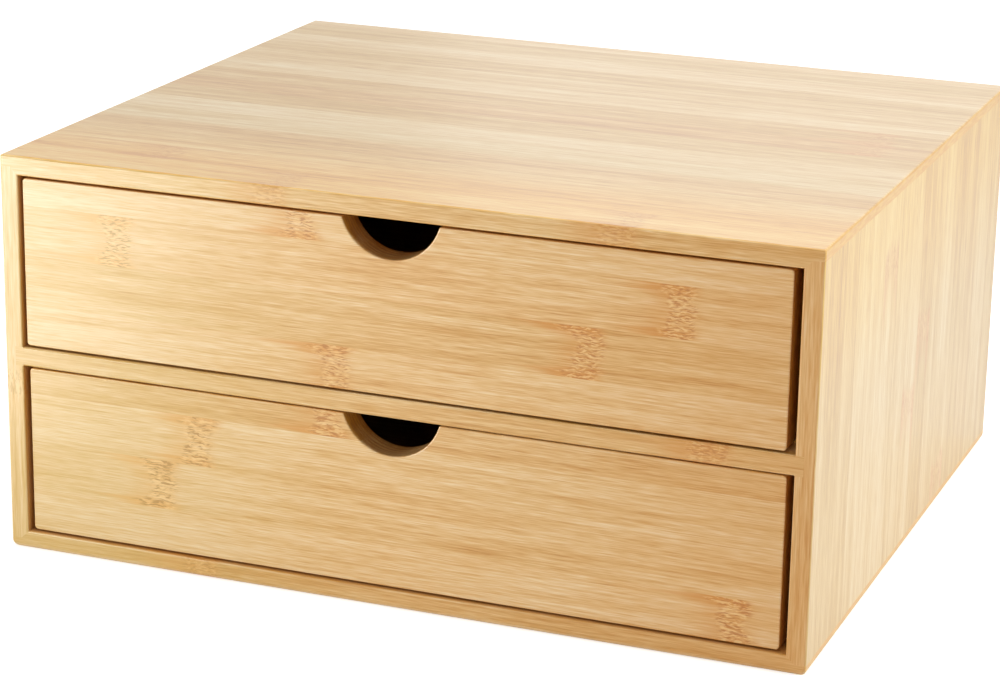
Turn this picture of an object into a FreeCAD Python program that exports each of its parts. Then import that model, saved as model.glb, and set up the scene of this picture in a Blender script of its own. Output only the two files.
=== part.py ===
import FreeCAD, Part
import math
import os
import re
import Sketcher

# Desktop drawer organizer in bamboo board: an open-fronted case with two inset drawers,
# one above the other. Millimetres, +Z up, the origin under the middle of the case. The
# front faces -Y, and the drawers slide out that way.

doc = FreeCAD.newDocument("drawer_organizer")

# Driving dimensions: name, size and meaning
DIMENSIONS = (
    ("cabinet_width", 340, "case, side to side"),
    ("cabinet_depth", 300, "case, front to back"),
    ("cabinet_height", 167, "case, bottom to top"),
    ("board", 8, "thickness of the case's boards"),
    ("lap", 4.6, "outer layer of the top and bottom that laps over the sides"),
    ("housing", 3.5, "depth of the housing that holds the shelf"),
    ("back_board", 5, "thickness of the case's back"),
    ("outer_round", 1, "rounding of the case's outer edges"),
    ("foot_round", 3, "rounding of the edges that the case stands on"),
    ("ease", 0.8, "rounding of the openings' edges and the drawers' top edges"),
    ("front_width", 319, "drawer front, side to side, and the whole drawer"),
    ("front_height", 69.8, "drawer front, bottom to top"),
    ("front_board", 13, "thickness of a drawer front"),
    ("front_lift", 0.7, "gap under a drawer front"),
    ("front_corner", 1.6, "rounding of a drawer front's four corners"),
    ("front_ease", 0.6, "rounding of a drawer front's face edge"),
    ("rear_chamfer", 0.5, "chamfer of a drawer front's and the back's rear edges"),
    ("notch_radius", 21, "finger notch"),
    ("notch_depth", 15.2, "finger notch, below the top edge"),
    ("notch_corner", 1, "rounding where the notch meets the top edge"),
    ("drawer_length", 293, "drawer, front to back"),
    ("upper_shift", 1.1, "how far the upper drawer sits to the left of the middle"),
    ("lower_shift", 0.6, "how far the lower drawer sits to the left of the middle"),
    ("upper_recess", 1, "upper drawer's face behind the front of the case"),
    ("lower_recess", 1.6, "lower drawer's face behind the front of the case"),
    ("wall", 8, "thickness of a drawer's sides and back"),
    ("wall_top", 65, "top of a drawer's sides above the board it slides on"),
    ("glide_gap", 0.2, "play under a drawer's sides"),
    ("rabbet", 4, "depth of the rabbet in a side that holds the back"),
    ("groove_depth", 4, "groove for a drawer's floor"),
    ("groove_rise", 6, "underside of that groove above the board below"),
    ("groove_play", 0.3, "play between a floor and its groove"),
    ("floor_board", 3, "thickness of a drawer's floor"),
    ("dowel_radius", 2, "dowel between front and side"),
    ("dowel_length", 20, "the whole dowel"),
    ("dowel_in_front", 8, "the part of it in the front"),
    ("dowel_play", 0.1, "play round a dowel"),
    ("dowel_end_play", 0.5, "room for glue past its end"),
    ("dowel_chamfer", 0.4, "dowel's ends"),
    ("dowel_first", 20, "lowest dowel above the board below"),
    ("dowel_pitch", 30, "from one dowel to the next"),
)
DOWELS_PER_SIDE = 2

sheet = doc.addObject("Spreadsheet::Sheet", "Dimensions")
for row, (alias, value, meaning) in enumerate(DIMENSIONS, start=1):
    sheet.set(f"A{row}", meaning)
    sheet.set(f"B{row}", str(value))
    sheet.setAlias(f"B{row}", alias)
doc.recompute()

ALIASES = {alias for alias, value, meaning in DIMENSIONS}

# Places that several pieces share, as expressions in the sheet's names
HALF_WIDTH = "(cabinet_width / 2)"
HALF_DEPTH = "(cabinet_depth / 2)"
LAP_EDGE = f"({HALF_WIDTH} - lap)"
OPENING_EDGE = f"({HALF_WIDTH} - board)"
BACK_FACE = f"({HALF_DEPTH} - back_board)"
BAY = "((cabinet_height - 3 * board) / 2)"
SHELF_UNDERSIDE = f"(board + {BAY})"
SHELF_TOP = f"({SHELF_UNDERSIDE} + board)"
FRONT_EDGE = "(front_width / 2)"
FRONT_TOP = "(front_lift + front_height)"
WALL_FACE = f"({FRONT_EDGE} - wall)"
WALL_MIDDLE = f"({FRONT_EDGE} - wall / 2)"
GROOVE_TOP = "(groove_rise + floor_board + groove_play)"
REAR_WALL_FACE = "(drawer_length - wall)"

THROUGH = "through"
TOLERANCE = 0.001
pieces = []


def bound(text):
    """Expression for the document: every name of the sheet gets the sheet before it."""
    def full_name(match):
        word = match.group(0)
        return f"Dimensions.{word}" if word in ALIASES else word
    return re.sub(r"[a-z_]+", full_name, text)


def size(alias):
    return float(getattr(sheet, alias))


# Sketches

def sketch_on(body, name, role, offset=None):
    """Sketch on one of the body's own origin planes, moved along the plane's normal."""
    planes = [plane for plane in body.Origin.OriginFeatures if plane.Role == role]
    sketch = body.newObject("Sketcher::SketchObject", name)
    sketch.AttachmentSupport = [(planes[0], "")]
    sketch.MapMode = "FlatFace"
    if offset is not None:
        sketch.setExpression("AttachmentOffset.Base.z", bound(offset))
    return sketch


def lock_point(sketch, item, point, start, across, along):
    """Hold one point of an item at two expressions, measured from the sketch's origin."""
    for kind, value, text in (("DistanceX", start.x, across), ("DistanceY", start.y, along)):
        number = sketch.addConstraint(Sketcher.Constraint(kind, -1, 1, item, point, value))
        sketch.setExpression(f"Constraints[{number}]", bound(text))


def draw_outline(sketch, corners):
    """Closed outline of straight lines through corners given as pairs of expressions."""
    count = len(corners)
    first = sketch.GeometryCount
    turns = [2 * math.pi * corner / count for corner in range(count)]
    start = [FreeCAD.Vector(math.cos(turn), math.sin(turn), 0) for turn in turns]
    for corner in range(count):
        sketch.addGeometry(Part.LineSegment(start[corner], start[(corner + 1) % count]))
    for corner, (across, along) in enumerate(corners):
        line = first + corner
        following = first + (corner + 1) % count
        sketch.addConstraint(Sketcher.Constraint("Coincident", line, 2, following, 1))
        lock_point(sketch, line, 1, start[corner], across, along)


def draw_rectangle(sketch, left, right, low, high):
    draw_outline(sketch, [(left, low), (right, low), (right, high), (left, high)])


def draw_circle(sketch, across, along, radius):
    start = FreeCAD.Vector(0, 0, 0)
    item = sketch.addGeometry(Part.Circle(start, FreeCAD.Vector(0, 0, 1), 1))
    lock_point(sketch, item, 3, start, across, along)
    number = sketch.addConstraint(Sketcher.Constraint("Radius", item, 1))
    sketch.setExpression(f"Constraints[{number}]", bound(radius))


# Features

def new_piece(label):
    body = doc.addObject("PartDesign::Body", label)
    body.Label = label
    pieces.append(body)
    return body


def give_length(feature, length, symmetric, reverse):
    if length == THROUGH:
        feature.Type = "ThroughAll"
    else:
        feature.setExpression("Length", bound(length))
    feature.SideType = "Symmetric" if symmetric else "One side"
    feature.Reversed = reverse


def pad(body, sketch, length, symmetric=False, reverse=False):
    """Raise a sketch, forwards along its plane's normal or to both sides of the plane."""
    feature = body.newObject("PartDesign::Pad", sketch.Name + "_pad")
    feature.Profile = sketch
    give_length(feature, length, symmetric, reverse)
    doc.recompute()
    return feature


def pocket(body, sketch, length, symmetric=False, reverse=False):
    """Cut a sketch, and make sure that the cut takes something away."""
    volume_before = body.Tip.Shape.Volume
    feature = body.newObject("PartDesign::Pocket", sketch.Name + "_cut")
    feature.Profile = sketch
    give_length(feature, length, symmetric, reverse)
    doc.recompute()
    if feature.Shape.Volume > volume_before - TOLERANCE:
        raise RuntimeError(f"{feature.Name} in {body.Label} cuts nothing")
    return feature


def near(value, *targets):
    return any(abs(value - target) < TOLERANCE for target in targets)


def edges_where(shape, test):
    """Names of the edges whose two ends and middle all pass the test."""
    names = []
    for number, edge in enumerate(shape.Edges, start=1):
        low, high = edge.ParameterRange
        points = [edge.valueAt(low + share * (high - low)) for share in (0, 0.5, 1)]
        if all(test(point) for point in points):
            names.append(f"Edge{number}")
    return names


def dress_edges(body, kind, name, amount, test):
    """Fillet or chamfer the edges of the body's last shape that pass the test."""
    base = body.Tip
    names = edges_where(base.Shape, test)
    if not names:
        raise RuntimeError(f"{name} in {body.Label} finds no edge")
    feature = body.newObject(f"PartDesign::{kind}", name)
    feature.Base = (base, names)
    feature.setExpression("Radius" if kind == "Fillet" else "Size", bound(amount))
    doc.recompute()


def fillet(body, name, radius, test):
    dress_edges(body, "Fillet", name, radius, test)


def chamfer(body, name, width, test):
    dress_edges(body, "Chamfer", name, width, test)


# Case

def build_lapped_panel(label, upper, rounding):
    """Top or bottom board: its outer layer laps over the sides, its inner one is mitred."""
    def level(depth):
        return f"(cabinet_height - {depth})" if upper else depth

    body = new_piece(label)
    profile = sketch_on(body, "front_profile", "XZ_Plane")
    right_half = [(HALF_WIDTH, level("0")), (HALF_WIDTH, level("lap")), (LAP_EDGE, level("lap")),
                  (OPENING_EDGE, level("board"))]
    left_half = [(f"-{across}", height) for across, height in reversed(right_half)]
    draw_outline(profile, right_half + left_half)
    pad(body, profile, "cabinet_depth", symmetric=True)

    rear = sketch_on(body, "rear_rabbet", "YZ_Plane")
    draw_rectangle(rear, BACK_FACE, HALF_DEPTH, level("lap"), level("board"))
    pocket(body, rear, THROUGH, symmetric=True)

    outer_face = size("cabinet_height") if upper else 0
    inner_face = outer_face - size("board") if upper else size("board")

    def on_end(point):
        return near(abs(point.x), size("cabinet_width") / 2)

    def on_front_or_rear(point):
        return near(abs(point.y), size("cabinet_depth") / 2)

    fillet(body, "upright_corners", "outer_round",
           lambda point: on_end(point) and on_front_or_rear(point))
    fillet(body, "outer_rim", rounding,
           lambda point: near(point.z, outer_face) and (on_end(point) or on_front_or_rear(point)))
    fillet(body, "opening_edge", "ease",
           lambda point: near(point.z, inner_face) and near(point.y, -size("cabinet_depth") / 2))


def build_side_panel(label, side):
    """Side board; side is 1 on the right and -1 on the left."""
    body = new_piece(label)
    profile = sketch_on(body, "front_profile", "XZ_Plane")
    lower_half = [(LAP_EDGE, "lap"), (HALF_WIDTH, "lap")]
    upper_half = [(HALF_WIDTH, "(cabinet_height - lap)"), (LAP_EDGE, "(cabinet_height - lap)")]
    mitres = [(OPENING_EDGE, "(cabinet_height - board)"), (OPENING_EDGE, "board")]
    corners = lower_half + upper_half + mitres
    draw_outline(profile, [(f"{side} * {across}", height) for across, height in corners])
    pad(body, profile, "cabinet_depth", symmetric=True)

    half_depth = size("cabinet_depth") / 2
    outer_face = size("cabinet_width") / 2
    inner_face = outer_face - size("board")
    fillet(body, "outer_corners", "outer_round",
           lambda point: near(abs(point.x), outer_face) and near(abs(point.y), half_depth))
    fillet(body, "opening_edge", "ease",
           lambda point: near(abs(point.x), inner_face) and near(point.y, -half_depth))

    rear = sketch_on(body, "rear_rabbet", "XY_Plane")
    draw_rectangle(rear, f"{side} * {OPENING_EDGE}", f"{side} * {LAP_EDGE}", BACK_FACE, HALF_DEPTH)
    pocket(body, rear, THROUGH, symmetric=True)

    groove = sketch_on(body, "shelf_housing", "XZ_Plane")
    draw_rectangle(groove, f"{side} * {OPENING_EDGE}", f"{side} * ({OPENING_EDGE} + housing)",
                   SHELF_UNDERSIDE, SHELF_TOP)
    pocket(body, groove, THROUGH, symmetric=True)


def build_middle_shelf():
    """Shelf between the drawers, with a tongue at each end for the housings."""
    body = new_piece("middle_shelf")
    plan = sketch_on(body, "plan", "XY_Plane", offset=SHELF_UNDERSIDE)
    draw_rectangle(plan, f"-{OPENING_EDGE}", OPENING_EDGE, f"-{HALF_DEPTH}", BACK_FACE)
    pad(body, plan, "board")
    half_depth = size("cabinet_depth") / 2
    underside = (size("cabinet_height") - size("board")) / 2
    fillet(body, "opening_edges", "ease",
           lambda point: near(point.y, -half_depth)
           and near(point.z, underside, underside + size("board")))
    tongues = sketch_on(body, "tongues", "XY_Plane", offset=SHELF_UNDERSIDE)
    for side in (-1, 1):
        draw_rectangle(tongues, f"{side} * {OPENING_EDGE}", f"{side} * ({OPENING_EDGE} + housing)",
                       f"-{HALF_DEPTH}", BACK_FACE)
    pad(body, tongues, "board")


def build_back_panel():
    """Back board, flush in the rabbet that runs round the rear of the case."""
    body = new_piece("back_panel")
    plan = sketch_on(body, "plan", "XY_Plane", offset="lap")
    draw_rectangle(plan, f"-{LAP_EDGE}", LAP_EDGE, BACK_FACE, HALF_DEPTH)
    pad(body, plan, "cabinet_height - 2 * lap")
    chamfer(body, "rear_edges", "rear_chamfer",
            lambda point: near(point.y, size("cabinet_depth") / 2))


# Drawers, each in its own frame: x = 0 in its middle, y = 0 on its face, z = 0 on the
# board that it slides on

def dowel_places(side):
    """Places of one side's dowels across and above the board below, as expressions."""
    across = f"{side} * {WALL_MIDDLE}"
    return [(across, f"(dowel_first + {number} * dowel_pitch)") for number in range(DOWELS_PER_SIDE)]


def grooved_section(inner, outer, deep):
    """Section of a drawer wall, grooved for the floor, from its inner to its outer face."""
    return [(outer, "glide_gap"), (outer, "wall_top"), (inner, "wall_top"), (inner, GROOVE_TOP),
            (deep, GROOVE_TOP), (deep, "groove_rise"), (inner, "groove_rise"), (inner, "glide_gap")]


def build_drawer_front(label):
    """Front board with its finger notch, grooved and drilled on the rear face."""
    body = new_piece(label)
    outline = sketch_on(body, "outline", "XZ_Plane")
    draw_rectangle(outline, f"-{FRONT_EDGE}", FRONT_EDGE, "front_lift", FRONT_TOP)
    pad(body, outline, "front_board", reverse=True)

    end = size("front_width") / 2
    bottom = size("front_lift")
    top = bottom + size("front_height")
    fillet(body, "corners", "front_corner",
           lambda point: near(abs(point.x), end) and near(point.z, bottom, top))

    notch = sketch_on(body, "finger_notch", "XZ_Plane")
    draw_circle(notch, "0", f"{FRONT_TOP} + notch_radius - notch_depth", "notch_radius")
    pocket(body, notch, THROUGH, symmetric=True)
    rise = size("notch_radius") - size("notch_depth")
    half_chord = math.sqrt(size("notch_radius") ** 2 - rise ** 2)
    fillet(body, "notch_corners", "notch_corner",
           lambda point: near(abs(point.x), half_chord) and near(point.z, top))
    fillet(body, "face_edge", "front_ease", lambda point: near(point.y, 0))
    chamfer(body, "rear_edge", "rear_chamfer", lambda point: near(point.y, size("front_board")))

    # Groove for the floor, stopped at the sides' own grooves
    groove = sketch_on(body, "floor_groove", "XZ_Plane", offset="-front_board")
    draw_rectangle(groove, f"-({WALL_FACE} + groove_depth)", f"{WALL_FACE} + groove_depth",
                   "groove_rise", GROOVE_TOP)
    pocket(body, groove, "groove_depth", reverse=True)

    holes = sketch_on(body, "dowel_holes", "XZ_Plane", offset="-front_board")
    for side in (-1, 1):
        for across, height in dowel_places(side):
            draw_circle(holes, across, height, "dowel_radius + dowel_play")
    pocket(body, holes, "dowel_in_front + dowel_end_play", reverse=True)
    return body


def build_drawer_side(label, side):
    """Side wall; side is 1 on the right and -1 on the left."""
    body = new_piece(label)
    section = sketch_on(body, "section", "XZ_Plane", offset="-front_board")
    corners = grooved_section(WALL_FACE, FRONT_EDGE, f"({WALL_FACE} + groove_depth)")
    draw_outline(section, [(f"{side} * {across}", height) for across, height in corners])
    pad(body, section, "drawer_length - front_board", reverse=True)

    rear = sketch_on(body, "rear_rabbet", "XY_Plane")
    draw_rectangle(rear, f"{side} * {WALL_FACE}", f"{side} * ({WALL_FACE} + rabbet)",
                   REAR_WALL_FACE, "drawer_length")
    pocket(body, rear, THROUGH, symmetric=True)

    holes = sketch_on(body, "dowel_holes", "XZ_Plane", offset="-front_board")
    for across, height in dowel_places(side):
        draw_circle(holes, across, height, "dowel_radius + dowel_play")
    pocket(body, holes, "dowel_length - dowel_in_front + dowel_end_play")

    outer_face = size("front_width") / 2
    inner_face = outer_face - size("wall")
    fillet(body, "top_edges", "ease",
           lambda point: near(point.z, size("wall_top")) and near(abs(point.x), outer_face, inner_face))
    return body


def build_drawer_back(label):
    """Back wall, whose ends fill the rabbets in the sides."""
    body = new_piece(label)
    section = sketch_on(body, "section", "YZ_Plane")
    draw_outline(section, grooved_section(REAR_WALL_FACE, "drawer_length",
                                          f"({REAR_WALL_FACE} + groove_depth)"))
    pad(body, section, f"2 * ({WALL_FACE} + rabbet)", symmetric=True)
    fillet(body, "top_edges", "ease",
           lambda point: near(point.z, size("wall_top"))
           and near(point.y, size("drawer_length"), size("drawer_length") - size("wall")))
    return body


def build_drawer_floor(label):
    """Floor panel, held in the grooves of all four walls."""
    body = new_piece(label)
    reach = "groove_depth - groove_play"
    plan = sketch_on(body, "plan", "XY_Plane", offset="groove_rise + groove_play / 2")
    draw_rectangle(plan, f"-({WALL_FACE} + {reach})", f"{WALL_FACE} + {reach}",
                   f"front_board - ({reach})", f"{REAR_WALL_FACE} + {reach}")
    pad(body, plan, "floor_board")
    return body


def build_drawer_dowels(label):
    """All the dowels of a drawer, as separate solids in one piece."""
    body = new_piece(label)
    ends = sketch_on(body, "dowel_ends", "XZ_Plane", offset="dowel_in_front - front_board")
    for side in (-1, 1):
        for across, height in dowel_places(side):
            draw_circle(ends, across, height, "dowel_radius")
    pad(body, ends, "dowel_length", reverse=True)
    first = size("front_board") - size("dowel_in_front")
    last = first + size("dowel_length")
    chamfer(body, "dowel_chamfers", "dowel_chamfer", lambda point: near(point.y, first, last))
    return body


def build_drawer(name, shift, recess, bay_floor):
    """One drawer, placed in its bay with its face recess behind the front of the case."""
    drawer = [
        build_drawer_front(f"{name}_front"),
        build_drawer_side(f"{name}_left_side", -1),
        build_drawer_side(f"{name}_right_side", 1),
        build_drawer_back(f"{name}_back"),
        build_drawer_floor(f"{name}_floor"),
        build_drawer_dowels(f"{name}_dowels"),
    ]
    for body in drawer:
        body.setExpression("Placement.Base.x", bound(f"-{shift}"))
        body.setExpression("Placement.Base.y", bound(f"{recess} - {HALF_DEPTH}"))
        body.setExpression("Placement.Base.z", bound(bay_floor))


build_lapped_panel("top_panel", upper=True, rounding="outer_round")
build_lapped_panel("bottom_panel", upper=False, rounding="foot_round")
build_side_panel("left_side_panel", -1)
build_side_panel("right_side_panel", 1)
build_middle_shelf()
build_back_panel()
build_drawer("upper_drawer", "upper_shift", "upper_recess", SHELF_TOP)
build_drawer("lower_drawer", "lower_shift", "lower_recess", "board")
doc.recompute()

# Every object has to be sound before anything is written
for item in doc.Objects:
    if "Invalid" in item.State or "Error" in item.State:
        raise RuntimeError(f"{item.Label} failed: {item.State}")
for body in pieces:
    if body.Shape.isNull() or not body.Shape.isValid():
        raise RuntimeError(f"{body.Label} has no valid shape")

os.makedirs("parts", exist_ok=True)
for body in pieces:
    body.Shape.exportStep(f"parts/{body.Label}.step")
    box = body.Shape.BoundBox
    print(f"{body.Label}: {len(body.Shape.Solids)} solid(s), {body.Shape.Volume / 1000:.1f} cm3, "
          f"{box.XLength:.1f} x {box.YLength:.1f} x {box.ZLength:.1f} mm")
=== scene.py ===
# %% [markdown]
# A desk organizer of bamboo board with two drawers.
# On the real object every board is glued up from strips of bamboo about as wide as a
# thumb, sanded smooth and given a satin lacquer. The frame that this lesson loads holds
# each board at its real size and place, so the shapes are done. What is left is what the
# eye judges: the bamboo, the dowels, the light, a white studio and the viewpoint.
# Boards could be dressed with photographs of wood. Here the wood is written as
# arithmetic instead, because a solid pattern is right on every face of a board at once:
# it gives long lines on the faces, short ones in the notches and dots on the end grain.

# %% Load the frame
import math
import random

import bpy
from mathutils import Matrix, Vector


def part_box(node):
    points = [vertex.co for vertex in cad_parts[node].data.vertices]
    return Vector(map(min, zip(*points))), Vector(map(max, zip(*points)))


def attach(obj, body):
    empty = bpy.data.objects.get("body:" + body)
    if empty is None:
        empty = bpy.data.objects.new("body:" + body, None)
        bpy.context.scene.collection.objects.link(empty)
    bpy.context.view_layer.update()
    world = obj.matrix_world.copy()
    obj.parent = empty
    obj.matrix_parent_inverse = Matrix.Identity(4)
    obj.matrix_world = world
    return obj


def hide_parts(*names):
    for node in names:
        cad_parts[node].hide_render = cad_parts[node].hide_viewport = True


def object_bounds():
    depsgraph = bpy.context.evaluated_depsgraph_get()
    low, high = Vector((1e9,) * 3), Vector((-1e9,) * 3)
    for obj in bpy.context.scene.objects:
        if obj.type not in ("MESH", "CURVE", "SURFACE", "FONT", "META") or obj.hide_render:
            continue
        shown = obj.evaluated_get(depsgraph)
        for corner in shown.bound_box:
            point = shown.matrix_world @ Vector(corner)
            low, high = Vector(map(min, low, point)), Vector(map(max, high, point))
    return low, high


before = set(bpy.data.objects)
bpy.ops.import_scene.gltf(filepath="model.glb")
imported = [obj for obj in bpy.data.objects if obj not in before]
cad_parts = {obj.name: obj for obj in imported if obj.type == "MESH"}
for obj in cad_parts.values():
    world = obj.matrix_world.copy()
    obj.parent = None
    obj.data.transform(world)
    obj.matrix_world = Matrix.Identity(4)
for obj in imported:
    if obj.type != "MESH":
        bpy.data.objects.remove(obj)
cad_low, cad_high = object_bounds()
case_size = cad_high - cad_low
MM = 0.001
print("boards:", len(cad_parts), "case in mm:", [round(side / MM, 1) for side in case_size])

# %% [markdown]
# The viewpoint.
# The object is seen from the right, a little from above, through a long lens that keeps
# its upright edges almost parallel. A camera can be aimed with a constraint or turned by
# hand. Here three angles turn it, because they are what a fit of the case's corners to
# the picture gives: yaw round the vertical, pitch below the horizon and a slight roll.

# %% Camera
CAMERA_PLACE = Vector((0.440, -1.1757, 0.4598))
CAMERA_YAW = math.radians(21.07)
CAMERA_PITCH = math.radians(17.27)
CAMERA_ROLL = math.radians(0.96)
CAMERA_LENS = 109.5
SENSOR_WIDTH = 36.0


def add_camera():
    data = bpy.data.cameras.new("product_camera")
    data.lens = CAMERA_LENS
    data.sensor_width = SENSOR_WIDTH
    data.clip_start = 0.05
    data.clip_end = 50
    camera = bpy.data.objects.new("product_camera", data)
    turn = Matrix.Rotation(CAMERA_YAW, 4, "Z") @ Matrix.Rotation(math.pi / 2 - CAMERA_PITCH, 4, "X")
    camera.matrix_world = Matrix.Translation(CAMERA_PLACE) @ turn @ Matrix.Rotation(CAMERA_ROLL, 4, "Z")
    bpy.context.scene.collection.objects.link(camera)
    bpy.context.scene.camera = camera


add_camera()
print("camera at", [round(value, 3) for value in CAMERA_PLACE], "lens", CAMERA_LENS)

# %% [markdown]
# Shader arithmetic.
# A material is a net of nodes, and nets drawn by hand soon grow unreadable. One small
# class lets the net be written as sums instead: a Wire stands for one output socket, and
# adding or multiplying wires adds a Math node. Colours have a method of their own,
# because a Math node would turn them grey. The Bench holds the tree and makes every other
# kind of node from its type, its settings and the values or wires of its sockets.

# %% Wires and the bench
class Wire:
    """One output socket that takes part in sums."""

    def __init__(self, bench, socket):
        self.bench = bench
        self.socket = socket

    def sum(self, operation, *others):
        sockets = {0: self, **dict(enumerate(others, 1))}
        return self.bench.node("ShaderNodeMath", {"operation": operation}, sockets)[0]

    def __add__(self, other):
        return self.sum("ADD", other)

    def __sub__(self, other):
        return self.sum("SUBTRACT", other)

    def __mul__(self, other):
        return self.sum("MULTIPLY", other)

    def __truediv__(self, other):
        return self.sum("DIVIDE", other)

    def __neg__(self):
        return self * -1

    def __rsub__(self, other):
        return -self + other

    __radd__ = __add__
    __rmul__ = __mul__

    def floor(self):
        return self.sum("FLOOR")

    def fraction(self):
        return self.sum("FRACT")

    def size(self):
        return self.sum("ABSOLUTE")

    def less_than(self, other):
        return self.sum("LESS_THAN", other)

    def higher_of(self, other):
        return self.sum("MAXIMUM", other)

    def rise(self, start, end):
        """0 below start, 1 above end and a smooth slope between them."""
        settings = {"interpolation_type": "SMOOTHSTEP"}
        sockets = {"Value": self, "From Min": start, "From Max": end, "To Min": 0.0, "To Max": 1.0}
        return self.bench.node("ShaderNodeMapRange", settings, sockets)["Result"]

    def fall(self, start, end):
        return 1 - self.rise(start, end)


class Outputs:
    """A node's outputs, by name or number, as wires."""

    def __init__(self, bench, node):
        self.bench = bench
        self.node = node

    def __getitem__(self, key):
        return Wire(self.bench, self.node.outputs[key])


class Bench:
    """Adds nodes to one tree."""

    def __init__(self, tree):
        self.tree = tree
        tree.nodes.clear()

    def node(self, kind, settings=None, sockets=None):
        node = self.tree.nodes.new(kind)
        for name, value in (settings or {}).items():
            if name == "stops":
                self.set_stops(node.color_ramp, value)
            elif name == "ramp":
                node.color_ramp.interpolation = value
            else:
                setattr(node, name, value)
        for key, value in (sockets or {}).items():
            self.feed(self.find(node, key), value)
        return Outputs(self, node)

    def find(self, node, key):
        for socket in node.inputs:
            if socket.identifier == key:
                return socket
        return node.inputs[key]

    def feed(self, socket, value):
        if isinstance(value, Wire):
            self.tree.links.new(value.socket, socket)
        else:
            socket.default_value = value

    def set_stops(self, ramp, stops):
        while len(ramp.elements) > 1:
            ramp.elements.remove(ramp.elements[-1])
        for number, (place, colour) in enumerate(stops):
            element = ramp.elements[0] if number == 0 else ramp.elements.new(place)
            element.position = place
            element.color = (*colour, 1.0)

    def vector(self, x, y, z):
        return self.node("ShaderNodeCombineXYZ", None, {"X": x, "Y": y, "Z": z})[0]

    def noise(self, vector, detail=2.0, roughness=0.5):
        """Cloudy values round 0, mostly within a fifth either way, one blob per unit."""
        sockets = {"Vector": vector, "Scale": 1.0, "Detail": detail, "Roughness": roughness}
        return self.node("ShaderNodeTexNoise", None, sockets)["Fac"] - 0.5

    def mix(self, share, first, second):
        """Colour: the first where share is 0, the second where it is 1."""
        settings = {"data_type": "RGBA", "clamp_factor": True}
        sockets = {"Factor_Float": share, "A_Color": first, "B_Color": second}
        return Wire(self, self.node("ShaderNodeMix", settings, sockets).node.outputs[2])


print("bench ready")

# %% [markdown]
# The studio.
# Such a product is shown on white with hardly a shadow. A white world would do for the
# background, but the object has to stand on something, so there is a wide matt floor. It
# is pale, and it adds a little white of its own for the camera and for reflections only:
# that takes it to pure white in the open and still leaves a trace of shadow at the foot of
# the case. The world shows white to the camera, a light grey to the lacquer, which takes
# its satin sheen from it, and lights the matt wood more gently still.

# %% World and floor
WORLD_LIGHT = 0.29
WORLD_GLEAM = 0.78
FLOOR_RADIUS = 6.0
FLOOR_CORNERS = 64
FLOOR_COLOUR = (0.80, 0.80, 0.80, 1.0)
FLOOR_LIFT = 0.68
FLOOR_GLEAM = 0.27
WHITE = (1.0, 1.0, 1.0, 1.0)


def kinds_of_ray(bench):
    """Two wires: 1 for the camera's own rays, and 1 for those of mirrors and glass."""
    path = bench.node("ShaderNodeLightPath")
    mirrored = path["Is Glossy Ray"].higher_of(path["Is Transmission Ray"])
    return path["Is Camera Ray"], mirrored


def make_world():
    world = bpy.data.worlds.new("white_studio")
    world.use_nodes = True
    bench = Bench(world.node_tree)
    direct, mirrored = kinds_of_ray(bench)
    strength = direct.higher_of(mirrored * WORLD_GLEAM).higher_of(WORLD_LIGHT)
    light = bench.node("ShaderNodeBackground", None, {"Color": WHITE, "Strength": strength})
    bench.node("ShaderNodeOutputWorld", None, {"Surface": light[0]})
    bpy.context.scene.world = world


def floor_material():
    material = bpy.data.materials.new("matt_white_floor")
    material.use_nodes = True
    bench = Bench(material.node_tree)
    matt = bench.node("ShaderNodeBsdfDiffuse", None, {"Color": FLOOR_COLOUR})
    direct, mirrored = kinds_of_ray(bench)
    strength = (direct * FLOOR_LIFT).higher_of(mirrored * FLOOR_GLEAM)
    lift = bench.node("ShaderNodeEmission", None, {"Color": WHITE, "Strength": strength})
    both = bench.node("ShaderNodeAddShader", None, {0: matt[0], 1: lift[0]})
    bench.node("ShaderNodeOutputMaterial", None, {"Surface": both[0]})
    return material


def add_floor():
    mesh = bpy.data.meshes.new("studio_floor")
    turns = [2 * math.pi * corner / FLOOR_CORNERS for corner in range(FLOOR_CORNERS)]
    rim = [(FLOOR_RADIUS * math.cos(turn), FLOOR_RADIUS * math.sin(turn), 0.0) for turn in turns]
    mesh.from_pydata(rim, [], [list(range(FLOOR_CORNERS))])
    mesh.materials.append(floor_material())
    floor = bpy.data.objects.new("studio_floor", mesh)
    bpy.context.scene.collection.objects.link(floor)


make_world()
add_floor()
print("floor radius", FLOOR_RADIUS, "m, world light", WORLD_LIGHT)

# %% [markdown]
# The lamps.
# Soft boxes light the object. A low one stands at the front left, and a small panel lies
# on the floor between it and the drawers, so their light falls off across the fronts from
# left to right and shines back off the lacquer at the left. One hangs overhead, one fills
# the right side, a wide low one behind the object puts a sheen on the top, and one at the
# back left keeps the sides that are turned away from going dull. Lamps have no look of
# their own here: they are hidden from the camera.

# %% Soft boxes
def add_soft_box(name, place, target, width, height, power):
    data = bpy.data.lights.new(name, "AREA")
    data.shape = "RECTANGLE"
    data.size = width
    data.size_y = height
    data.energy = power
    lamp = bpy.data.objects.new(name, data)
    aim = (Vector(target) - Vector(place)).to_track_quat("-Z", "Y").to_matrix().to_4x4()
    lamp.matrix_world = Matrix.Translation(place) @ aim
    lamp.visible_camera = False
    bpy.context.scene.collection.objects.link(lamp)
    print(name, "power", power, "W")


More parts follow.
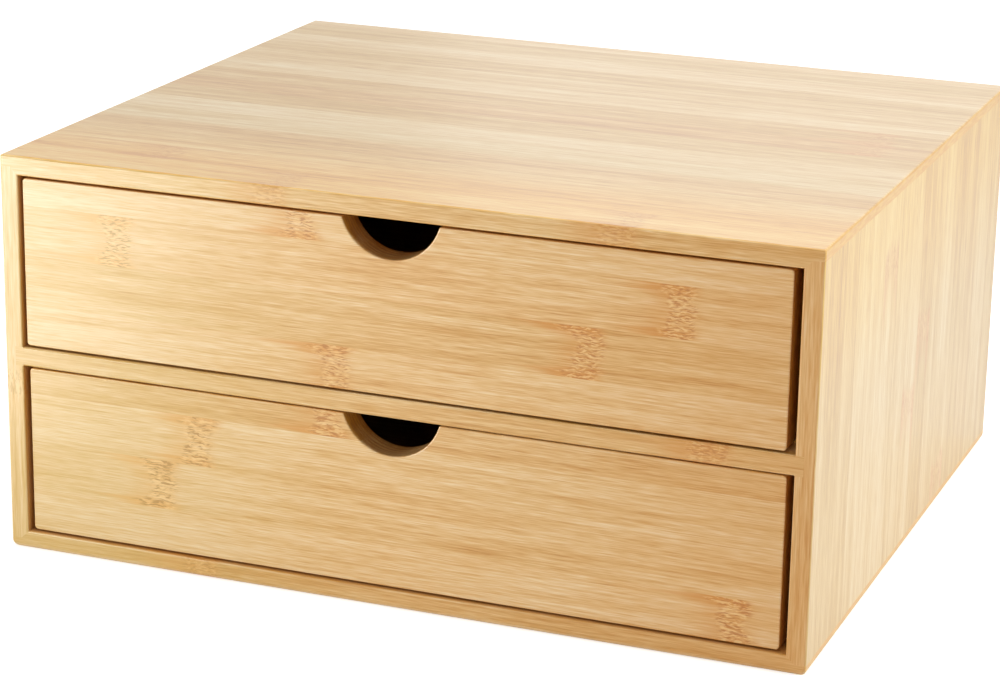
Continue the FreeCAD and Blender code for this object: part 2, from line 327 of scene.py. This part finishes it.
add_soft_box("low_left_box", (-0.84, -0.955, 0.09), (-0.17, -0.15, 0.10), 0.46, 0.18, 7.4)
add_soft_box("floor_panel", (-0.36, -0.37, 0.01), (-0.36, -0.3699, 1.0), 0.24, 0.24, 0.5)
add_soft_box("overhead_box", (0.1, 0.1, 1.5), (0.0, 0.0, 0.0), 1.4, 1.4, 11.6)
add_soft_box("right_box", (1.4, 0.1, 0.6), (0.17, 0.0, 0.08), 0.9, 0.9, 10.6)
add_soft_box("low_back_box", (0.0, 1.8, 0.75), (0.0, 0.0, 0.16), 1.6, 0.7, 1.5)
add_soft_box("back_left_box", (-1.5, 0.7, 0.7), (0.0, 0.0, 0.08), 0.9, 0.9, 2.2)

# %% [markdown]
# Bamboo, the idea.
# A bamboo stem has no rings. It is a bundle of straight fibres, with a hard partition
# every hand's breadth or two. Cut into strips and glued side by side it shows three
# things: fine lines along the strip, a tone of its own for each strip, and a knuckle
# where a partition was, a band across one strip with short dark reddish dashes.
# Stretched noise gives the lines. A ramp with one hard step per strip works as a small
# table: its red and green say where that strip's knuckles are, and its blue how pale the
# strip is. So knuckles can stand where they stand on the real boards, and dice with a
# fixed seed fill in the strips that nobody can see.

# %% Table of strips
STRIP_WIDTH = 20.6
KNUCKLE_SPACING = 285.0
END_CLEARANCE = 4
NO_KNUCKLE = 3.0
AXES = "xyz"


def knuckles_by_dice(dice, length):
    """Places of up to two knuckles along a strip, in mm from its low end."""
    first = dice.uniform(-0.3, 1.0) * KNUCKLE_SPACING
    second = first + KNUCKLE_SPACING * dice.uniform(0.85, 1.1)
    return [place for place in (first, second) if END_CLEARANCE < place < length - END_CLEARANCE]


def strip_table(board):
    """For each strip: places of its two knuckles as shares of the length, and its tone."""
    dice = random.Random(board.seed)
    rows = []
    for strip in range(board.count):
        places = knuckles_by_dice(dice, board.length)
        if board.known is not None:
            places = board.known.get(strip, [])
        shares = [place / board.length for place in places] + [NO_KNUCKLE] * (2 - len(places))
        rows.append((strip / board.count, (shares[0], shares[1], dice.random())))
    return rows


print("strips across the top board:", math.ceil(case_size.y / MM / STRIP_WIDTH))

# %% [markdown]
# Bamboo, the colours.
# Lacquered bamboo runs from straw to honey, with a reddish brown in the knuckles and on
# the end grain. There are four scales of dark to light. No two boards are quite alike, so
# warm and pale are mixed strip by strip, with a share for each board; golden or honey take
# over towards one side of a board, where they paint less sheen than on the rest of the
# face. Faces inside the case never got their lacquer, and their raw brown is painted shade,
# as in the gaps round the drawers. The colours are written as a maker would match them under
# plain white light, and turned into the linear values that a shader works in.

# %% Colours
def paint(red, green, blue):
    """Linear colour from the 0 to 255 values of a paint chip."""
    def linear(value):
        share = value / 255
        return share / 12.92 if share <= 0.04045 else ((share + 0.055) / 1.055) ** 2.4
    return tuple(linear(value) for value in (red, green, blue))


WARM_WOOD = [
    (0.0, paint(192, 122, 24)),
    (0.35, paint(217, 159, 81)),
    (0.6, paint(232, 186, 118)),
    (1.0, paint(248, 217, 168)),
]
PALE_WOOD = [
    (0.0, paint(189, 134, 26)),
    (0.35, paint(211, 171, 85)),
    (0.6, paint(227, 194, 130)),
    (1.0, paint(244, 225, 184)),
]
# The golden and honey scales paint where less sheen falls on a board.
GOLDEN_LOW_SHEEN_WOOD = [
    (0.0, paint(190, 124, 12)),
    (0.35, paint(220, 168, 50)),
    (0.6, paint(237, 195, 93)),
    (1.0, paint(250, 223, 153)),
]
HONEY_LOW_SHEEN_WOOD = [
    (0.0, paint(196, 118, 10)),
    (0.35, paint(226, 160, 44)),
    (0.6, paint(242, 187, 84)),
    (1.0, paint(254, 220, 148)),
]
KNUCKLE_BROWN = (*paint(190, 110, 0), 1.0)
# Tan and straw stand for the knuckle's brown and amber under painted sheen at the front's left end.
KNUCKLE_BROWN_UNDER_SHEEN = (*paint(178, 136, 44), 1.0)
# Amber is the knuckle's own tinge, and also the painted shade at the front's right end.
AMBER_TINGE_AND_SHADE = (*paint(214, 140, 36), 1.0)
KNUCKLE_AMBER_UNDER_SHEEN = (*paint(226, 178, 92), 1.0)
# Painted highlight for the pale dashes in a knuckle.
KNUCKLE_GLEAM = (*paint(248, 212, 142), 1.0)
END_GOLD = (*paint(238, 192, 84), 1.0)
END_TAN = (*paint(226, 166, 56), 1.0)
END_BROWN = (*paint(176, 104, 16), 1.0)
# Painted shade for faces inside the case, as seen in the gaps round the drawers.
GAP_SHADE_BROWN = (*paint(196, 124, 30), 1.0)
print("middle tone in linear values:", [round(value, 3) for value in WARM_WOOD[2][1]])

# %% [markdown]
# Bamboo, the material.
# Each board gets its own copy of the material, because each has its own grain direction,
# strips and knuckles. The steps are short functions: where a point lies in the board,
# which strip it belongs to, how far it is from a knuckle, and what the fibres do there.
# A board's own traits are written down with it: how strong its figure and its knuckles
# are, how pale it is, the deeper scale that paints less sheen on part of it and between
# which places, which of its faces looks into the case and takes a painted shade, and how
# much its edge shows the thin layers it was pressed from.
# All that is seen from the front also grows paler and calmer towards its left end, which is painted sheen.

# %% Where a point lies
class Board:
    """One board's box in mm, with the axes of its grain, its rows of strips and its layers."""

    def __init__(self, node, grain, rows, seed, margin=0.0, known=None,
                 figure=0.85, knots=1.0, pale=0.0, low_sheen_shade=None, inner=0, plies=0.0):
        low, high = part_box(node)
        self.node = node
        self.low = [value / MM for value in low]
        self.high = [value / MM for value in high]
        self.grain = AXES.index(grain)
        self.rows = AXES.index(rows)
        self.layers = 3 - self.grain - self.rows
        self.margin = margin
        self.known = known
        self.seed = seed
        self.figure = figure
        self.knots = knots
        self.paleness = pale
        self.low_sheen_shade = low_sheen_shade
        self.inner = inner
        self.plies = plies
        self.shift = random.Random(seed).uniform(0, 9000)
        self.length = self.high[self.grain] - self.low[self.grain]
        self.width = self.high[self.rows] - self.low[self.rows]
        self.count = max(1, math.ceil((self.width + margin) / STRIP_WIDTH))


def place_in_mm(bench):
    """Wires for the three coordinates of the point in the frame, in mm."""
    point = bench.node("ShaderNodeTexCoord")["Object"]
    parts = bench.node("ShaderNodeSeparateXYZ", None, {"Vector": point})
    return [parts[axis] / MM for axis in range(3)]


def board_coordinates(bench, board):
    """Wires for the place along the grain, across the strips and through the board, in mm."""
    places = [place - board.low[axis] for axis, place in enumerate(place_in_mm(bench))]
    return places[board.grain], places[board.rows] + board.margin, places[board.layers]


def strips(across):
    """Number of the strip and how far across it the point is, from 0 to 1."""
    row = across / STRIP_WIDTH
    number = row.floor()
    return number, row - number


print("strips are", STRIP_WIDTH, "mm wide")

# %% [markdown]
# Knuckles.
# On the real board a knuckle is a ragged band across one strip, some 8 mm wide and drawn in
# at its waist, and filled with short wavy dark dashes, with bright ones beside them that are
# painted highlights. It could be painted as a picture and laid on. Here the distance to the
# knuckle along the strip says where the band is, so it stays in its strip and goes right
# through the board. A little noise makes the band sway, and a finer one bends the dashes.

# %% Knuckles
KNUCKLE_SWAY = 13.0
MARK_LENGTH = 3.2
MARK_WIDTH = 0.56
MARK_DEPTH = 0.6
MARK_BEND = 2.4


def knuckle_distance(bench, board, along, across, number):
    """Signed distance in mm to the strip's nearer knuckle, and the strip's own tone."""
    table = strip_table(board)
    share = (number + 0.5) / board.count
    row = bench.node("ShaderNodeValToRGB", {"ramp": "CONSTANT", "stops": table}, {"Fac": share})
    parts = bench.node("ShaderNodeSeparateColor", None, {"Color": row["Color"]})
    first = along - parts["Red"] * board.length
    second = along - parts["Green"] * board.length
    nearer = first.size().less_than(second.size())
    distance = second + (first - second) * nearer
    sway = bench.noise(bench.vector(number * 7.3, across / 7.5, along / 60))
    return distance + sway * KNUCKLE_SWAY, parts["Blue"]


def knuckle_marks(bench, distance, across, through, number):
    """Short wavy marks that fill a knuckle: above 0 in the dark ones, below 0 in the painted highlights.
    """
    bend = bench.noise(bench.vector(distance / 4.5, across / 4 + number * 3.7, through / 3))
    wavy = (across + bend * MARK_BEND) / MARK_WIDTH + number * 11.3
    field = bench.vector(distance / MARK_LENGTH, wavy, through / MARK_DEPTH)
    return bench.noise(field, detail=1.0)


print("knuckle dashes are", MARK_LENGTH, "by", MARK_WIDTH, "mm")

# %% [markdown]
# Fibres.
# The lines of bamboo are bundles of fibre of very different widths. One noise can't show
# them all, so three are laid over each other: bands of some 4 mm, lines of under 1 mm and
# hairs finer still, each drawn out along the grain. They wander a little near a knuckle,
# as the fibres do there, and start anew in every strip and every pressed layer, so no
# two strips share a line.

# %% Fibres
BAND_SIZE = (120, 4.2)
LINE_SIZE = (34, 0.85)
HAIR_SIZE = (9, 0.38)
LAYER_THICKNESS = 4.2


def drawn_out(bench, size, along, side, deep, detail=2.0, roughness=0.5):
    """Noise drawn out along the grain, whose blobs have the given length and width in mm."""
    length, width = size
    return bench.noise(bench.vector(along / length, side / width, deep / width), detail, roughness)


def fibres(bench, along, across, through, number, unrest):
    """Light and dark lines along the grain, round 0: broad bands, lines and fine hairs."""
    layer = (through / LAYER_THICKNESS).floor()
    place = bench.vector(along / 38, across / 6 + number * 9.1, through / 6 + layer * 5.3)
    wave = bench.noise(place, detail=1.0)
    side = across + wave * (unrest * 3.0 + 0.5) + number * 53.7
    deep = through + layer * 31.9
    bands = drawn_out(bench, BAND_SIZE, along, side, deep)
    lines = drawn_out(bench, LINE_SIZE, along, side, deep, roughness=0.6)
    hairs = drawn_out(bench, HAIR_SIZE, along, side, deep, detail=1.0)
    return bands, lines, hairs


print("fibres, length and width in mm:", BAND_SIZE, LINE_SIZE, HAIR_SIZE)

# %% Everything at one point of the bamboo
KNUCKLE_CORE = (3.6, 7.6)
KNUCKLE_TINGE = (2.5, 9.5)
KNUCKLE_UNREST = (4.0, 24.0)
STRIP_RIM = (0.22, 0.42)
STRIP_SEAM = (0.485, 0.497)


class Grain:
    """Wires for what the bamboo is like at a point of a board."""

    def __init__(self, bench, board):
        along, across, through = board_coordinates(bench, board)
        number, share = strips(across)
        distance, self.own_tone = knuckle_distance(bench, board, along, across, number)
        self.rim = (share - 0.5).size().rise(*STRIP_RIM)
        self.seam = (share - 0.5).size().rise(*STRIP_SEAM)
        ragged = bench.noise(bench.vector(number * 3.1, across / 2.5, through / 8)) * 1.3 + 0.42
        stretched = distance.higher_of(distance * (1 - self.rim * ragged))
        self.core = stretched.size().fall(*KNUCKLE_CORE)
        self.tinge = stretched.higher_of(stretched * -0.5).fall(*KNUCKLE_TINGE)
        unrest = distance.size().fall(*KNUCKLE_UNREST)
        along_noise = along + board.shift
        self.marks = knuckle_marks(bench, distance, across, through + board.shift, number)
        bands, self.lines, self.hairs = fibres(bench, along_noise, across, through, number, unrest)
        self.plies = bench.noise(bench.vector(along / 26, across / 9, through / 1.15), detail=1.0)
        self.tone = bands + self.lines * 1.05 + self.hairs


print("a knuckle is", 2 * KNUCKLE_CORE[1], "mm wide at its rims")

# %% [markdown]
# Faces of a board.
# Planks show three kinds of wood: long fibres on the broad faces, layers along the edges
# and dots on the ends. A maker could give each face a material of its own. The direction
# that a surface looks in tells them apart as well, and does so round a rounded corner too,
# where one kind turns softly into the next.

# %% Which way a surface looks
TURNED = (0.55, 0.9)
# Where the painted sheen lies along the front, in mm from its middle.
LEFT_PART = (-150, 20)
# Where the painted shade lies along the front, in mm from its middle.
RIGHT_PART = (40, 165)


class Faces:
    """Wires from 0 to 1: end grain, strip's edge, inside of the case, and left and right in front, where
    painted sheen and painted shade go.
    """

    def __init__(self, bench, board):
        normal = bench.node("ShaderNodeTexCoord")["Normal"]
        parts = bench.node("ShaderNodeSeparateXYZ", None, {"Vector": normal})
        self.end = parts[board.grain].size().rise(*TURNED)
        self.edge = parts[board.rows].size().rise(*TURNED)
        self.inside = (parts[board.layers] * board.inner).rise(*TURNED)
        front = (-parts["Y"]).rise(*TURNED)
        from_middle = place_in_mm(bench)[0]
        # Painted sheen: the front's left end.
        self.left = front * from_middle.fall(*LEFT_PART)
        # Painted shade: the front's right end.
        self.right = front * from_middle.rise(*RIGHT_PART)


print("the front turns pale from", LEFT_PART[1], "to", LEFT_PART[0], "mm left of its middle")

# %% [markdown]
# The colour, step by step.
# First comes the plain wood: the fibres' tone is read off a scale of shades, and every
# strip has its own place on the scale and its own share of the paler one. Then knuckles
# are laid over it: an amber tinge that runs out along the grain on one side, bright
# dashes that paint highlights, and dark dashes last. The cut faces come on top of all that.

# %% Plain wood
STRIP_CONTRAST = 0.3
HUE_SPREAD = 0.35
# Painted sheen at the front's left end: a paler scale and a calmer figure.
LEFT_PAINTED_SHEEN = 0.8
LEFT_SHEEN_CALM = 0.35
# Painted shade at the front's right end: a share of amber.
RIGHT_PAINTED_SHADE = 0.27


def shades(bench, board, faces, level):
    """The board's warm and pale wood at a level; a deeper scale takes over along one axis, painted where
    less sheen falls.
    """
    warm, pale = [
        bench.node("ShaderNodeValToRGB", {"stops": stops}, {"Fac": level})["Color"]
        for stops in (WARM_WOOD, PALE_WOOD)
    ]
    if board.low_sheen_shade is None:
        return warm, pale
    stops, axis, start, end = board.low_sheen_shade
    low_sheen = bench.node("ShaderNodeValToRGB", {"stops": stops}, {"Fac": level})["Color"]
    # Painted sheen: the deeper scale paints less sheen on this part of the face than on the rest.
    share = (1 - faces.edge) * place_in_mm(bench)[AXES.index(axis)].rise(start, end)
    return bench.mix(share, warm, low_sheen), bench.mix(share, pale, low_sheen)


def plain_wood(bench, board, grain, faces):
    """Colour of the fibres, strip by strip, with painted sheen at the front's left end and painted shade
    at its right end.
    """
    strip_tone = (grain.own_tone - 0.5) * STRIP_CONTRAST - faces.edge * board.paleness * 0.1
    streaks = grain.lines.fall(-0.22, -0.10) * 0.10
    # Painted sheen: the figure grows calmer towards the front's left end.
    figure = (grain.tone - streaks) * (1 - faces.left * LEFT_SHEEN_CALM) * board.figure
    warm, pale = shades(bench, board, faces, figure + strip_tone + 0.5 - grain.seam * 0.09)
    hue = (grain.own_tone * 17.3).fraction() * HUE_SPREAD + (1 - faces.edge) * board.paleness
    # Painted sheen: the front turns to the paler scale towards its left end.
    colour = bench.mix(hue + faces.left * LEFT_PAINTED_SHEEN, warm, pale)
    # Painted shade: the front turns deeper amber towards its right end.
    return bench.mix(faces.right * RIGHT_PAINTED_SHADE, colour, AMBER_TINGE_AND_SHADE)


print("a strip may differ from the next by", STRIP_CONTRAST, "of the scale")

# %% Knuckles, end grain and painted shade of inner faces on top of it
DARK_MARKS = 0.82
PAINTED_HIGHLIGHTS = 0.55
END_SHARE = 0.85
GAP_SHADE_SHARE = 0.6


def with_knuckles(bench, board, grain, faces, dark_marks, colour):
    tint = grain.rim * 0.45 + grain.lines.fall(-0.1, 0.1) * 0.3 + 0.25
    # Painted sheen: the knuckle's tinge turns to straw towards the front's left end.
    tinge = bench.mix(faces.left, AMBER_TINGE_AND_SHADE, KNUCKLE_AMBER_UNDER_SHEEN)
    colour = bench.mix(grain.tinge * tint * board.knots, colour, tinge)
    # Painted highlights: pale dashes beside the dark ones in a knuckle.
    highlight_marks = grain.core * grain.marks.fall(-0.12, -0.03) * PAINTED_HIGHLIGHTS * board.knots
    colour = bench.mix(highlight_marks, colour, KNUCKLE_GLEAM)
    # Painted sheen: dark dashes turn tan towards the front's left end.
    return bench.mix(dark_marks, colour, bench.mix(faces.left, KNUCKLE_BROWN, KNUCKLE_BROWN_UNDER_SHEEN))


def with_cut_faces(bench, board, grain, faces, colour):
    dark, light = (END_BROWN, END_TAN) if board.plies else (END_TAN, END_GOLD)
    grain_end = bench.mix(grain.plies.rise(-0.1, 0.12) * 0.7 + grain.hairs * 0.8, dark, light)
    colour = bench.mix(faces.end * END_SHARE, colour, grain_end)
    if board.plies:
        colour = bench.mix(faces.edge * grain.plies.fall(-0.1, 0.08) * board.plies, colour, END_BROWN)
    # Faces inside the case: a brown of painted shade, as in the gaps round the drawers.
    if board.inner:
        colour = bench.mix(faces.inside * GAP_SHADE_SHARE, colour, GAP_SHADE_BROWN)
    return colour


print("end grain covers", END_SHARE, "of a cut face")

# %% [markdown]
# The lacquer.
# A satin lacquer is a thin clear coat over the wood. It could be faked with a lower
# roughness. A true coat is better, because it shines white at a glancing view while the
# wood below keeps its colour. The fibres stand up a few hundredths of a millimetre, which
# a bump gives, and dark dashes lie a little lower. End grain drinks the lacquer and stays
# duller.

# %% The whole material
BUMP_DISTANCE = 0.00016
BUMP_STRENGTH = 0.12
LACQUER_COAT = 1.0
LACQUER_ROUGHNESS = 0.30
WOOD_ROUGHNESS = 0.36
ROUGHER = 0.12
WOOD_INDEX = 1.5


def bamboo(board):
    material = bpy.data.materials.new("bamboo_" + board.node)
    material.use_nodes = True
    bench = Bench(material.node_tree)
    grain = Grain(bench, board)
    faces = Faces(bench, board)
    dark_marks = grain.core * grain.marks.rise(0.03, 0.13) * DARK_MARKS * board.knots
    colour = plain_wood(bench, board, grain, faces)
    colour = with_knuckles(bench, board, grain, faces, dark_marks, colour)
    colour = with_cut_faces(bench, board, grain, faces, colour)

    height = grain.tone * 0.6 - dark_marks * 0.12
    sockets = {"Strength": BUMP_STRENGTH, "Distance": BUMP_DISTANCE, "Height": height}
    relief = bench.node("ShaderNodeBump", None, sockets)
    rough_places = grain.hairs + dark_marks + faces.end + faces.inside * 3
    sockets = {
        "Base Color": colour,
        "Roughness": rough_places * ROUGHER + WOOD_ROUGHNESS,
        "Normal": relief["Normal"],
        "IOR": WOOD_INDEX,
        "Coat Weight": (1 - faces.inside) * LACQUER_COAT if board.inner else LACQUER_COAT,
        "Coat Roughness": LACQUER_ROUGHNESS,
    }
    surface = bench.node("ShaderNodeBsdfPrincipled", None, sockets)
    bench.node("ShaderNodeOutputMaterial", None, {"Surface": surface["BSDF"]})
    return material


print("lacquer roughness", LACQUER_ROUGHNESS, "over wood", WOOD_ROUGHNESS)

# %% [markdown]
# Which way each board runs.
# The grain runs from side to side in the flat boards and the drawer fronts, and upright
# in the sides of the case. Knuckles are given in mm from a board's left, front or lower
# end, for the strip they are in, where the picture shows them.

# %% Dress the boards
# The honey scale along the front of the top and the golden one towards the top of the right side paint
# less sheen there than on the rest of those faces.
BOARDS = [
    Board("top_panel", "x", "y", 11, known={0: [120, 262], 1: [60], 7: [317], 8: [314]},
          knots=0.5, pale=0.5, low_sheen_shade=(HONEY_LOW_SHEEN_WOOD, "y", -60, -145), inner=-1),
    Board("bottom_panel", "x", "y", 12, known={0: [87], 4: [210], 9: [140]},
          figure=0.75, knots=0.6, pale=0.4, inner=1),
    Board("left_side_panel", "z", "y", 13, margin=6.0, known={0: [66], 3: [120], 9: [40]},
          figure=0.8, knots=0.6, pale=0.5, inner=1),
    Board("right_side_panel", "z", "y", 14, margin=12.0, known={5: [131], 7: [61], 8: [89], 10: [11]},
          figure=0.8, knots=0.5, pale=0.9, low_sheen_shade=(GOLDEN_LOW_SHEEN_WOOD, "z", 75, 160), inner=-1),
    Board("middle_shelf", "x", "y", 15, known={0: [296], 5: [90]}, figure=0.75, knots=0.7, pale=0.4),
    Board("back_panel", "x", "z", 16, margin=4.0, figure=0.75, knots=0.7, pale=0.4),
]
FRONT_SEEDS = {"upper_drawer": 2477, "lower_drawer": 5581}
FRONT_KNUCKLES = {
    "upper_drawer": (3.2, {0: [136], 1: [240], 2: [43, 277], 3: [122]}),
    "lower_drawer": (2.7, {0: [301], 1: [60], 2: [77], 3: [133]}),
}
for order, (drawer, (margin, known)) in enumerate(FRONT_KNUCKLES.items()):
    seed = 20 + 10 * order
    BOARDS += [
        Board(drawer + "_front", "x", "z", FRONT_SEEDS[drawer], margin, known, figure=0.8, plies=0.6),
        Board(drawer + "_left_side", "y", "z", seed + 1, 5.0, knots=0.8),
        Board(drawer + "_right_side", "y", "z", seed + 2, 9.0, knots=0.8),
        Board(drawer + "_back", "x", "z", seed + 3, 7.0, knots=0.8),
        Board(drawer + "_floor", "x", "y", seed + 4, 3.0, knots=0.7, pale=0.3),
        Board(drawer + "_dowels", "y", "z", seed + 5, known={}),
    ]

for board in BOARDS:
    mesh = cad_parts[board.node].data
    mesh.materials.clear()
    mesh.materials.append(bamboo(board))
print("boards dressed:", len(BOARDS))

# %% [markdown]
# The dowels.
# Four glued dowels hold each drawer front to the sides. They are hidden in the closed
# joint, but they are bought fluted and with chamfered ends, so that glue and air can get
# past. They could be drawn one by one. Geometry Nodes make them instead: a fluted circle is
# swept along a short line whose ends are scaled down for the chamfer, and one copy goes to
# each corner of a small upright grid. The tree's inputs are the sizes, and the grid's come
# from the box of the frame's own dowels.

# %% Dowel tree
DOWEL_DIAMETER = 4.0 * MM
DOWEL_CHAMFER = 0.4 * MM
FLUTES = 14
FLUTE_DEPTH = 0.2 * MM
POINTS_PER_FLUTE = 4
NEAR_END = 0.1
DOWEL_INPUTS = {
    "Radius": "NodeSocketFloat",
    "Length": "NodeSocketFloat",
    "Chamfer": "NodeSocketFloat",
    "Flutes": "NodeSocketInt",
    "Flute Depth": "NodeSocketFloat",
    "Across": "NodeSocketFloat",
    "Upwards": "NodeSocketFloat",
    "Middle": "NodeSocketVector",
    "Wood": "NodeSocketMaterial",
}


def dowel_tree():
    tree = bpy.data.node_groups.new("fluted_dowels", "GeometryNodeTree")
    bench = Bench(tree)
    for name, kind in DOWEL_INPUTS.items():
        tree.interface.new_socket(name, in_out="INPUT", socket_type=kind)
    tree.interface.new_socket("Geometry", in_out="OUTPUT", socket_type="NodeSocketGeometry")
    given = bench.node("NodeGroupInput")
    radius = given["Radius"]
    half = given["Length"] / 2

    sockets = {"Resolution": given["Flutes"] * POINTS_PER_FLUTE, "Radius": radius}
    circle = bench.node("GeometryNodeCurvePrimitiveCircle", None, sockets)["Curve"]
    place = bench.node("GeometryNodeInputPosition")["Position"]
    parts = bench.node("ShaderNodeSeparateXYZ", None, {"Vector": place})
    turn = parts["Y"].sum("ARCTAN2", parts["X"])
    wave = (turn * given["Flutes"]).sum("COSINE")
    scale = 1 - (1 - wave) / 2 * given["Flute Depth"] / radius
    fluted = bench.node("ShaderNodeVectorMath", {"operation": "SCALE"}, {"Vector": place, "Scale": scale})
    section = bench.node("GeometryNodeSetPosition", None, {"Geometry": circle, "Position": fluted[0]})[0]

    ends = {"Start": bench.vector(0, -half, 0), "End": bench.vector(0, half, 0)}
    line = bench.node("GeometryNodeCurvePrimitiveLine", None, ends)["Curve"]
    line = bench.node("GeometryNodeResampleCurve", None, {"Curve": line, "Count": 4})[0]
    inner = 1 - parts["Y"].size() / half
    at_end = inner.less_than(NEAR_END)
    shoulder = parts["Y"].sum("SIGN") * (half - given["Chamfer"])
    height = shoulder + (parts["Y"] - shoulder) * at_end
    sockets = {"Geometry": line, "Position": bench.vector(0, height, 0)}
    axis = bench.node("GeometryNodeSetPosition", None, sockets)[0]
    taper = 1 - at_end * given["Chamfer"] / radius
    sockets = {"Curve": axis, "Profile Curve": section, "Scale": taper, "Fill Caps": True}
    dowel = bench.node("GeometryNodeCurveToMesh", None, sockets)[0]

    sockets = {"Size X": given["Across"], "Size Y": given["Upwards"], "Vertices X": 2, "Vertices Y": 2}
    grid = bench.node("GeometryNodeMeshGrid", None, sockets)["Mesh"]
    upright = {"Geometry": grid, "Translation": given["Middle"], "Rotation": (math.pi / 2, 0, 0)}
    corners = bench.node("GeometryNodeTransform", None, upright)[0]
    copies = bench.node("GeometryNodeInstanceOnPoints", None, {"Points": corners, "Instance": dowel})[0]
    real = bench.node("GeometryNodeRealizeInstances", None, {"Geometry": copies})[0]
    dressed = bench.node("GeometryNodeSetMaterial", None, {"Geometry": real, "Material": given["Wood"]})[0]
    bench.node("NodeGroupOutput", None, {"Geometry": dressed})
    return tree


tree = dowel_tree()
print("dowel tree has", len(tree.nodes), "nodes")


# %% Dowels in place
def grown_mesh(name, tree, values):
    """Plain mesh that a tree of Geometry Nodes grows from the values of its inputs."""
    seed_object = bpy.data.objects.new(name + "_seed", bpy.data.meshes.new(name + "_seed"))
    bpy.context.scene.collection.objects.link(seed_object)
    modifier = seed_object.modifiers.new(name, "NODES")
    modifier.node_group = tree
    for item in tree.interface.items_tree:
        if item.in_out == "INPUT":
            modifier[item.identifier] = values[item.name]
    graph = bpy.context.evaluated_depsgraph_get()
    mesh = bpy.data.meshes.new_from_object(seed_object.evaluated_get(graph), depsgraph=graph)
    bpy.data.objects.remove(seed_object)
    return mesh


def add_dowels(drawer):
    node = drawer + "_dowels"
    low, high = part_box(node)
    size = high - low
    values = {
        "Radius": DOWEL_DIAMETER / 2,
        "Length": size.y,
        "Chamfer": DOWEL_CHAMFER,
        "Flutes": FLUTES,
        "Flute Depth": FLUTE_DEPTH,
        "Across": size.x - DOWEL_DIAMETER,
        "Upwards": size.z - DOWEL_DIAMETER,
        "Middle": (low + high) / 2,
        "Wood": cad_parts[node].data.materials[0],
    }
    dowels = bpy.data.objects.new(drawer + "_fluted_dowels", grown_mesh(node, tree, values))
    bpy.context.scene.collection.objects.link(dowels)
    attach(dowels, drawer)
    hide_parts(node)
    print(dowels.name, "faces:", len(dowels.data.polygons), "materials:", len(dowels.data.materials))


for drawer in FRONT_KNUCKLES:
    add_dowels(drawer)

# %% [markdown]
# The last lines.
# Colours are shown without a film look.

# %% Finish
bpy.context.scene.view_settings.view_transform = "Standard"
